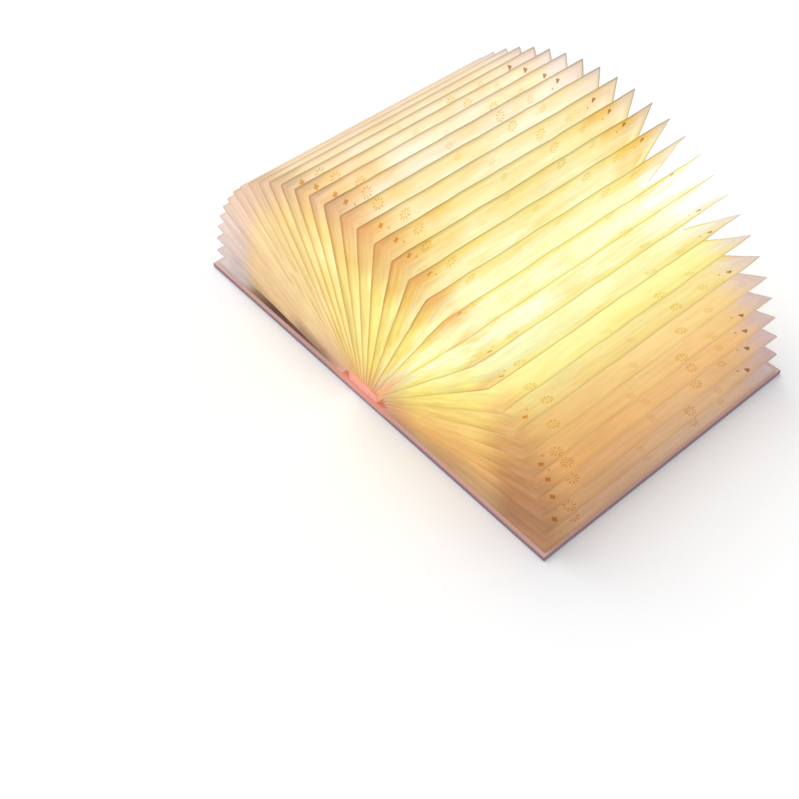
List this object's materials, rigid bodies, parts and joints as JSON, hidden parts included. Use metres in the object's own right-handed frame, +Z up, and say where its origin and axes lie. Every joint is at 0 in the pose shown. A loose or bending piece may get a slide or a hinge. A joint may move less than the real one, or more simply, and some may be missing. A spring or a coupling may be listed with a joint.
{
  "type": "rechargeable reading light",
  "caption": "Folding book-shaped reading light: hinged cloth covers, fanned pleated paper leaves, and a spine housing with light strip, cell and charging socket.",
  "frame": {"origin": "middle of the spine's outer face, on the surface that the open lamp lies on", "axes": "+X from the front cover to the back cover, +Y along the spine from tail to head, +Z up from the open case"},
  "size_m": [0.28, 0.18, 0.1229],
  "materials": {
    "rose_cloth": "matt dusty rose book cloth with a fine grain and gold foil ornament",
    "spine_cloth": "matt dusty rose book cloth, redder on the spine",
    "grey_board": "plain greyboard",
    "rose_lining": "matt rose endpaper",
    "page_paper": "thin translucent paper lit warm from inside",
    "rose_plastic": "fine matt",
    "frosted_diffuser": "frosted",
    "circuit_board": "solder resist",
    "cell_foil": "laminated foil pouch",
    "white_tape": "foam tape",
    "plated_steel": "nickel plated",
    "black_plastic": "fine matt",
    "indicator_lens": "clear moulded",
    "red_insulation": "extruded"
  },
  "bodies": {
    "spine": {"spine_cloth": "spine_cloth", "spine_board": "grey_board", "spine_lining": "rose_lining", "housing_tape": "white_tape", "housing_base": "rose_plastic", "led_housing": "rose_plastic", "led_diffuser": "frosted_diffuser", "led_strip": "circuit_board", "battery_cell": "cell_foil", "battery_tape": "white_tape", "charge_board": "circuit_board", "hall_sensor": "black_plastic", "usb_socket": "plated_steel", "charge_indicator": "indicator_lens", "battery_lead_positive": "red_insulation", "battery_lead_negative": "black_plastic"},
    "front_cover": {"front_cloth": "rose_cloth", "front_board": "grey_board", "front_lining": "rose_lining", "front_end_panel": "page_paper", "front_magnet": "plated_steel"},
    "back_cover": {"back_cloth": "rose_cloth", "back_board": "grey_board", "back_lining": "rose_lining", "back_end_panel": "page_paper", "back_magnet": "plated_steel"},
    "leaf_01": {"page_leaf_01": "page_paper"},
    "leaf_02": {"page_leaf_02": "page_paper"},
    "leaf_03": {"page_leaf_03": "page_paper"},
    "leaf_04": {"page_leaf_04": "page_paper"},
    "leaf_05": {"page_leaf_05": "page_paper"},
    "leaf_06": {"page_leaf_06": "page_paper"},
    "leaf_07": {"page_leaf_07": "page_paper"},
    "leaf_08": {"page_leaf_08": "page_paper"},
    "leaf_09": {"page_leaf_09": "page_paper"},
    "leaf_10": {"page_leaf_10": "page_paper"},
    "leaf_11": {"page_leaf_11": "page_paper"},
    "leaf_12": {"page_leaf_12": "page_paper"},
    "leaf_13": {"page_leaf_13": "page_paper"},
    "leaf_14": {"page_leaf_14": "page_paper"},
    "leaf_15": {"page_leaf_15": "page_paper"},
    "leaf_16": {"page_leaf_16": "page_paper"},
    "leaf_17": {"page_leaf_17": "page_paper"},
    "leaf_18": {"page_leaf_18": "page_paper"},
    "leaf_19": {"page_leaf_19": "page_paper"},
    "leaf_20": {"page_leaf_20": "page_paper"},
    "leaf_21": {"page_leaf_21": "page_paper"},
    "leaf_22": {"page_leaf_22": "page_paper"},
    "leaf_23": {"page_leaf_23": "page_paper"},
    "leaf_24": {"page_leaf_24": "page_paper"},
    "leaf_25": {"page_leaf_25": "page_paper"},
    "leaf_26": {"page_leaf_26": "page_paper"},
    "leaf_27": {"page_leaf_27": "page_paper"},
    "leaf_28": {"page_leaf_28": "page_paper"},
    "leaf_29": {"page_leaf_29": "page_paper"},
    "leaf_30": {"page_leaf_30": "page_paper"},
    "leaf_31": {"page_leaf_31": "page_paper"},
    "leaf_32": {"page_leaf_32": "page_paper"}
  },
  "joints": [
    {"name": "front_cover_hinge", "type": "hinge", "parent": "spine", "child": "front_cover", "pos_m": [-0.015, 0, 0], "axis": [0, 1, 0], "range_deg": [0, 90]},
    {"name": "back_cover_hinge", "type": "hinge", "parent": "spine", "child": "back_cover", "pos_m": [0.015, 0, 0], "axis": [0, -1, 0], "range_deg": [0, 90]},
    {"name": "leaf_01_fold", "type": "hinge", "parent": "spine", "child": "leaf_01", "pos_m": [-0.01409, 0, 0], "axis": [0, 1, 0], "range_deg": [0, 84.55]},
    {"name": "leaf_02_fold", "type": "hinge", "parent": "spine", "child": "leaf_02", "pos_m": [-0.01318, 0, 0], "axis": [0, 1, 0], "range_deg": [0, 79.09]},
    {"name": "leaf_03_fold", "type": "hinge", "parent": "spine", "child": "leaf_03", "pos_m": [-0.01227, 0, 0], "axis": [0, 1, 0], "range_deg": [0, 73.64]},
    {"name": "leaf_04_fold", "type": "hinge", "parent": "spine", "child": "leaf_04", "pos_m": [-0.01136, 0, 0], "axis": [0, 1, 0], "range_deg": [0, 68.18]},
    {"name": "leaf_05_fold", "type": "hinge", "parent": "spine", "child": "leaf_05", "pos_m": [-0.01045, 0, 0], "axis": [0, 1, 0], "range_deg": [0, 62.73]},
    {"name": "leaf_06_fold", "type": "hinge", "parent": "spine", "child": "leaf_06", "pos_m": [-0.00955, 0, 0], "axis": [0, 1, 0], "range_deg": [0, 57.27]},
    {"name": "leaf_07_fold", "type": "hinge", "parent": "spine", "child": "leaf_07", "pos_m": [-0.00864, 0, 0], "axis": [0, 1, 0], "range_deg": [0, 51.82]},
    {"name": "leaf_08_fold", "type": "hinge", "parent": "spine", "child": "leaf_08", "pos_m": [-0.00773, 0, 0], "axis": [0, 1, 0], "range_deg": [0, 46.36]},
    {"name": "leaf_09_fold", "type": "hinge", "parent": "spine", "child": "leaf_09", "pos_m": [-0.00682, 0, 0], "axis": [0, 1, 0], "range_deg": [0, 40.91]},
    {"name": "leaf_10_fold", "type": "hinge", "parent": "spine", "child": "leaf_10", "pos_m": [-0.00591, 0, 0], "axis": [0, 1, 0], "range_deg": [0, 35.46]},
    {"name": "leaf_11_fold", "type": "hinge", "parent": "spine", "child": "leaf_11", "pos_m": [-0.005, 0, 0], "axis": [0, 1, 0], "range_deg": [0, 30]},
    {"name": "leaf_12_fold", "type": "hinge", "parent": "spine", "child": "leaf_12", "pos_m": [-0.00409, 0, 0], "axis": [0, 1, 0], "range_deg": [0, 24.55]},
    {"name": "leaf_13_fold", "type": "hinge", "parent": "spine", "child": "leaf_13", "pos_m": [-0.00318, 0, 0], "axis": [0, 1, 0], "range_deg": [0, 19.09]},
    {"name": "leaf_14_fold", "type": "hinge", "parent": "spine", "child": "leaf_14", "pos_m": [-0.00227, 0, 0], "axis": [0, 1, 0], "range_deg": [0, 13.64]},
    {"name": "leaf_15_fold", "type": "hinge", "parent": "spine", "child": "leaf_15", "pos_m": [-0.00136, 0, 0], "axis": [0, 1, 0], "range_deg": [0, 8.18]},
    {"name": "leaf_16_fold", "type": "hinge", "parent": "spine", "child": "leaf_16", "pos_m": [-0.00045, 0, 0], "axis": [0, 1, 0], "range_deg": [0, 2.73]},
    {"name": "leaf_17_fold", "type": "hinge", "parent": "spine", "child": "leaf_17", "pos_m": [0.00045, 0, 0], "axis": [0, -1, 0], "range_deg": [0, 2.73]},
    {"name": "leaf_18_fold", "type": "hinge", "parent": "spine", "child": "leaf_18", "pos_m": [0.00136, 0, 0], "axis": [0, -1, 0], "range_deg": [0, 8.18]},
    {"name": "leaf_19_fold", "type": "hinge", "parent": "spine", "child": "leaf_19", "pos_m": [0.00227, 0, 0], "axis": [0, -1, 0], "range_deg": [0, 13.64]},
    {"name": "leaf_20_fold", "type": "hinge", "parent": "spine", "child": "leaf_20", "pos_m": [0.00318, 0, 0], "axis": [0, -1, 0], "range_deg": [0, 19.09]},
    {"name": "leaf_21_fold", "type": "hinge", "parent": "spine", "child": "leaf_21", "pos_m": [0.00409, 0, 0], "axis": [0, -1, 0], "range_deg": [0, 24.55]},
    {"name": "leaf_22_fold", "type": "hinge", "parent": "spine", "child": "leaf_22", "pos_m": [0.005, 0, 0], "axis": [0, -1, 0], "range_deg": [0, 30]},
    {"name": "leaf_23_fold", "type": "hinge", "parent": "spine", "child": "leaf_23", "pos_m": [0.00591, 0, 0], "axis": [0, -1, 0], "range_deg": [0, 35.46]},
    {"name": "leaf_24_fold", "type": "hinge", "parent": "spine", "child": "leaf_24", "pos_m": [0.00682, 0, 0], "axis": [0, -1, 0], "range_deg": [0, 40.91]},
    {"name": "leaf_25_fold", "type": "hinge", "parent": "spine", "child": "leaf_25", "pos_m": [0.00773, 0, 0], "axis": [0, -1, 0], "range_deg": [0, 46.36]},
    {"name": "leaf_26_fold", "type": "hinge", "parent": "spine", "child": "leaf_26", "pos_m": [0.00864, 0, 0], "axis": [0, -1, 0], "range_deg": [0, 51.82]},
    {"name": "leaf_27_fold", "type": "hinge", "parent": "spine", "child": "leaf_27", "pos_m": [0.00955, 0, 0], "axis": [0, -1, 0], "range_deg": [0, 57.27]},
    {"name": "leaf_28_fold", "type": "hinge", "parent": "spine", "child": "leaf_28", "pos_m": [0.01045, 0, 0], "axis": [0, -1, 0], "range_deg": [0, 62.73]},
    {"name": "leaf_29_fold", "type": "hinge", "parent": "spine", "child": "leaf_29", "pos_m": [0.01136, 0, 0], "axis": [0, -1, 0], "range_deg": [0, 68.18]},
    {"name": "leaf_30_fold", "type": "hinge", "parent": "spine", "child": "leaf_30", "pos_m": [0.01227, 0, 0], "axis": [0, -1, 0], "range_deg": [0, 73.64]},
    {"name": "leaf_31_fold", "type": "hinge", "parent": "spine", "child": "leaf_31", "pos_m": [0.01318, 0, 0], "axis": [0, -1, 0], "range_deg": [0, 79.09]},
    {"name": "leaf_32_fold", "type": "hinge", "parent": "spine", "child": "leaf_32", "pos_m": [0.01409, 0, 0], "axis": [0, -1, 0], "range_deg": [0, 84.55]}
  ],
  "couplings": [
    {"joint": "leaf_01_fold", "follows": "front_cover_hinge", "ratio": 0.93939},
    {"joint": "leaf_02_fold", "follows": "front_cover_hinge", "ratio": 0.87879},
    {"joint": "leaf_03_fold", "follows": "front_cover_hinge", "ratio": 0.81818},
    {"joint": "leaf_04_fold", "follows": "front_cover_hinge", "ratio": 0.75758},
    {"joint": "leaf_05_fold", "follows": "front_cover_hinge", "ratio": 0.69697},
    {"joint": "leaf_06_fold", "follows": "front_cover_hinge", "ratio": 0.63636},
    {"joint": "leaf_07_fold", "follows": "front_cover_hinge", "ratio": 0.57576},
    {"joint": "leaf_08_fold", "follows": "front_cover_hinge", "ratio": 0.51515},
    {"joint": "leaf_09_fold", "follows": "front_cover_hinge", "ratio": 0.45455},
    {"joint": "leaf_10_fold", "follows": "front_cover_hinge", "ratio": 0.39394},
    {"joint": "leaf_11_fold", "follows": "front_cover_hinge", "ratio": 0.33333},
    {"joint": "leaf_12_fold", "follows": "front_cover_hinge", "ratio": 0.27273},
    {"joint": "leaf_13_fold", "follows": "front_cover_hinge", "ratio": 0.21212},
    {"joint": "leaf_14_fold", "follows": "front_cover_hinge", "ratio": 0.15152},
    {"joint": "leaf_15_fold", "follows": "front_cover_hinge", "ratio": 0.090909},
    {"joint": "leaf_16_fold", "follows": "front_cover_hinge", "ratio": 0.030303},
    {"joint": "leaf_17_fold", "follows": "back_cover_hinge", "ratio": 0.030303},
    {"joint": "leaf_18_fold", "follows": "back_cover_hinge", "ratio": 0.090909},
    {"joint": "leaf_19_fold", "follows": "back_cover_hinge", "ratio": 0.15152},
    {"joint": "leaf_20_fold", "follows": "back_cover_hinge", "ratio": 0.21212},
    {"joint": "leaf_21_fold", "follows": "back_cover_hinge", "ratio": 0.27273},
    {"joint": "leaf_22_fold", "follows": "back_cover_hinge", "ratio": 0.33333},
    {"joint": "leaf_23_fold", "follows": "back_cover_hinge", "ratio": 0.39394},
    {"joint": "leaf_24_fold", "follows": "back_cover_hinge", "ratio": 0.45455},
    {"joint": "leaf_25_fold", "follows": "back_cover_hinge", "ratio": 0.51515},
    {"joint": "leaf_26_fold", "follows": "back_cover_hinge", "ratio": 0.57576},
    {"joint": "leaf_27_fold", "follows": "back_cover_hinge", "ratio": 0.63636},
    {"joint": "leaf_28_fold", "follows": "back_cover_hinge", "ratio": 0.69697},
    {"joint": "leaf_29_fold", "follows": "back_cover_hinge", "ratio": 0.75758},
    {"joint": "leaf_30_fold", "follows": "back_cover_hinge", "ratio": 0.81818},
    {"joint": "leaf_31_fold", "follows": "back_cover_hinge", "ratio": 0.87879},
    {"joint": "leaf_32_fold", "follows": "back_cover_hinge", "ratio": 0.93939}
  ]
}
